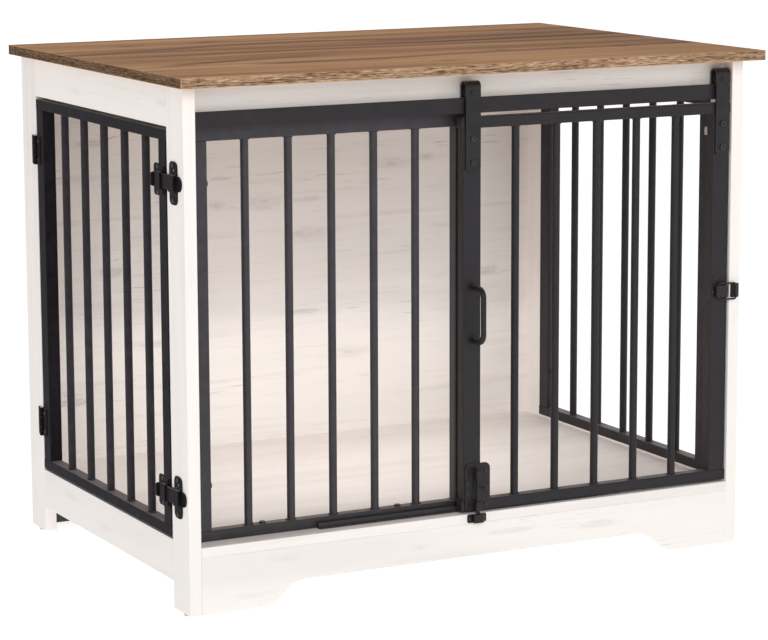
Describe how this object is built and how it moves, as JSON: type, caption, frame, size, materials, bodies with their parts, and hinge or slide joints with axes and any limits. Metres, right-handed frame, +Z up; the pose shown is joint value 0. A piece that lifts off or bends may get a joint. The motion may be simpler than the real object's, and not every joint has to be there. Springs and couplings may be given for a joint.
{
  "type": "dog crate end table",
  "caption": "Dog crate end table: brown wood slab on a white wood carcass with black barred panels, a top-hung sliding front door and a hinged side door.",
  "frame": {"origin": "on the floor, below the centre of the slab", "axes": "+X to the right seen from the front, +Y to the back, +Z up"},
  "size_m": [0.975, 0.685, 0.783],
  "materials": {
    "slab_wood": "matte brown oak decor",
    "white_wood": "matte white-washed wood",
    "dark_wood": "dark stained board",
    "plain_wood": "raw wood",
    "black_steel": "satin charcoal powder coat",
    "zinc_steel": "zinc plated",
    "black_nylon": "matte nylon",
    "glide_nylon": "matte nylon"
  },
  "bodies": {
    "carcass": {"top_slab": "slab_wood", "leg_front_left": "white_wood", "leg_front_right": "white_wood", "leg_back_left": "white_wood", "leg_back_right": "white_wood", "left_top_rail": "white_wood", "left_bottom_rail": "white_wood", "right_top_rail": "white_wood", "right_bottom_rail": "white_wood", "front_top_board": "white_wood", "base_floor_panel": "white_wood", "back_panel": "white_wood", "front_apron": "white_wood", "back_skirt": "dark_wood", "floor_support_rail": "plain_wood", "rail_dowels": "plain_wood", "fixed_panel_frame": "black_steel", "fixed_panel_bars": "black_steel", "panel_screws": "black_steel", "right_grille_frame": "black_steel", "right_grille_bars": "black_steel", "track_bar": "black_steel", "track_spacers": "black_steel", "foot_bolt_keeper": "black_steel", "front_latch_keeper": "black_steel", "keeper_screws": "black_steel", "side_hinge_post_leaves": "black_steel", "post_hinge_screws": "black_steel", "side_latch_keepers": "black_steel", "slab_brackets": "zinc_steel", "slab_bracket_screws": "zinc_steel", "track_screws": "zinc_steel", "side_hinge_pins": "zinc_steel", "right_grille_clip": "zinc_steel", "bottom_guide": "black_nylon", "fixed_panel_caps": "black_nylon", "leg_glides": "glide_nylon"},
    "sliding_door": {"sliding_door_frame": "black_steel", "sliding_door_bars": "black_steel", "sliding_door_caps": "black_nylon", "hanger_straps": "black_steel", "roller_axles": "black_steel", "strap_bolts": "black_steel", "door_handle": "black_steel", "handle_screws": "zinc_steel", "foot_bolt_plate": "black_steel", "front_latch_plate": "black_steel", "door_hardware_screws": "black_steel"},
    "hanger_roller_left": {"hanger_roller_left": "black_nylon"},
    "hanger_roller_right": {"hanger_roller_right": "black_nylon"},
    "foot_bolt": {"foot_bolt_rod": "black_steel"},
    "front_latch_loop": {"front_latch_loop": "black_steel"},
    "side_door": {"side_door_frame": "black_steel", "side_door_bars": "black_steel", "side_door_caps": "black_nylon", "side_hinge_door_leaves": "black_steel", "side_latch_plates": "black_steel", "side_door_screws": "black_steel"},
    "side_latch_bolt_upper": {"side_latch_bolt_upper": "black_steel"},
    "side_latch_bolt_lower": {"side_latch_bolt_lower": "black_steel"}
  },
  "joints": [
    {"name": "front_door_slide", "type": "slide", "parent": "carcass", "child": "sliding_door", "axis": [-1, 0, 0], "range_m": [0, 0.4285]},
    {"name": "roller_left_spin", "type": "hinge", "parent": "sliding_door", "child": "hanger_roller_left", "pos_m": [-0.00475, -0.2975, 0.7377], "axis": [0, -1, 0], "continuous": true},
    {"name": "roller_right_spin", "type": "hinge", "parent": "sliding_door", "child": "hanger_roller_right", "pos_m": [0.4347, -0.2975, 0.7377], "axis": [0, -1, 0], "continuous": true},
    {"name": "foot_bolt_lift", "type": "slide", "parent": "sliding_door", "child": "foot_bolt", "axis": [0, 0, 1], "range_m": [-0.012, 0.009]},
    {"name": "front_latch_flip", "type": "hinge", "parent": "sliding_door", "child": "front_latch_loop", "pos_m": [0.431, -0.3078, 0.408], "axis": [0, 0, -1], "range_deg": [-4.7, 150]},
    {"name": "side_door_swing", "type": "hinge", "parent": "carcass", "child": "side_door", "pos_m": [-0.4734, 0.272, 0.405], "axis": [0, 0, -1], "range_deg": [0, 165]},
    {"name": "side_latch_upper_slide", "type": "slide", "parent": "side_door", "child": "side_latch_bolt_upper", "axis": [0, -1, 0], "range_m": [-0.014, 0.011]},
    {"name": "side_latch_lower_slide", "type": "slide", "parent": "side_door", "child": "side_latch_bolt_lower", "axis": [0, -1, 0], "range_m": [-0.014, 0.011]}
  ],
  "couplings": [
    {"joint": "roller_left_spin", "follows": "front_door_slide", "rad_per_m": 147.06},
    {"joint": "roller_right_spin", "follows": "front_door_slide", "rad_per_m": 147.06}
  ]
}
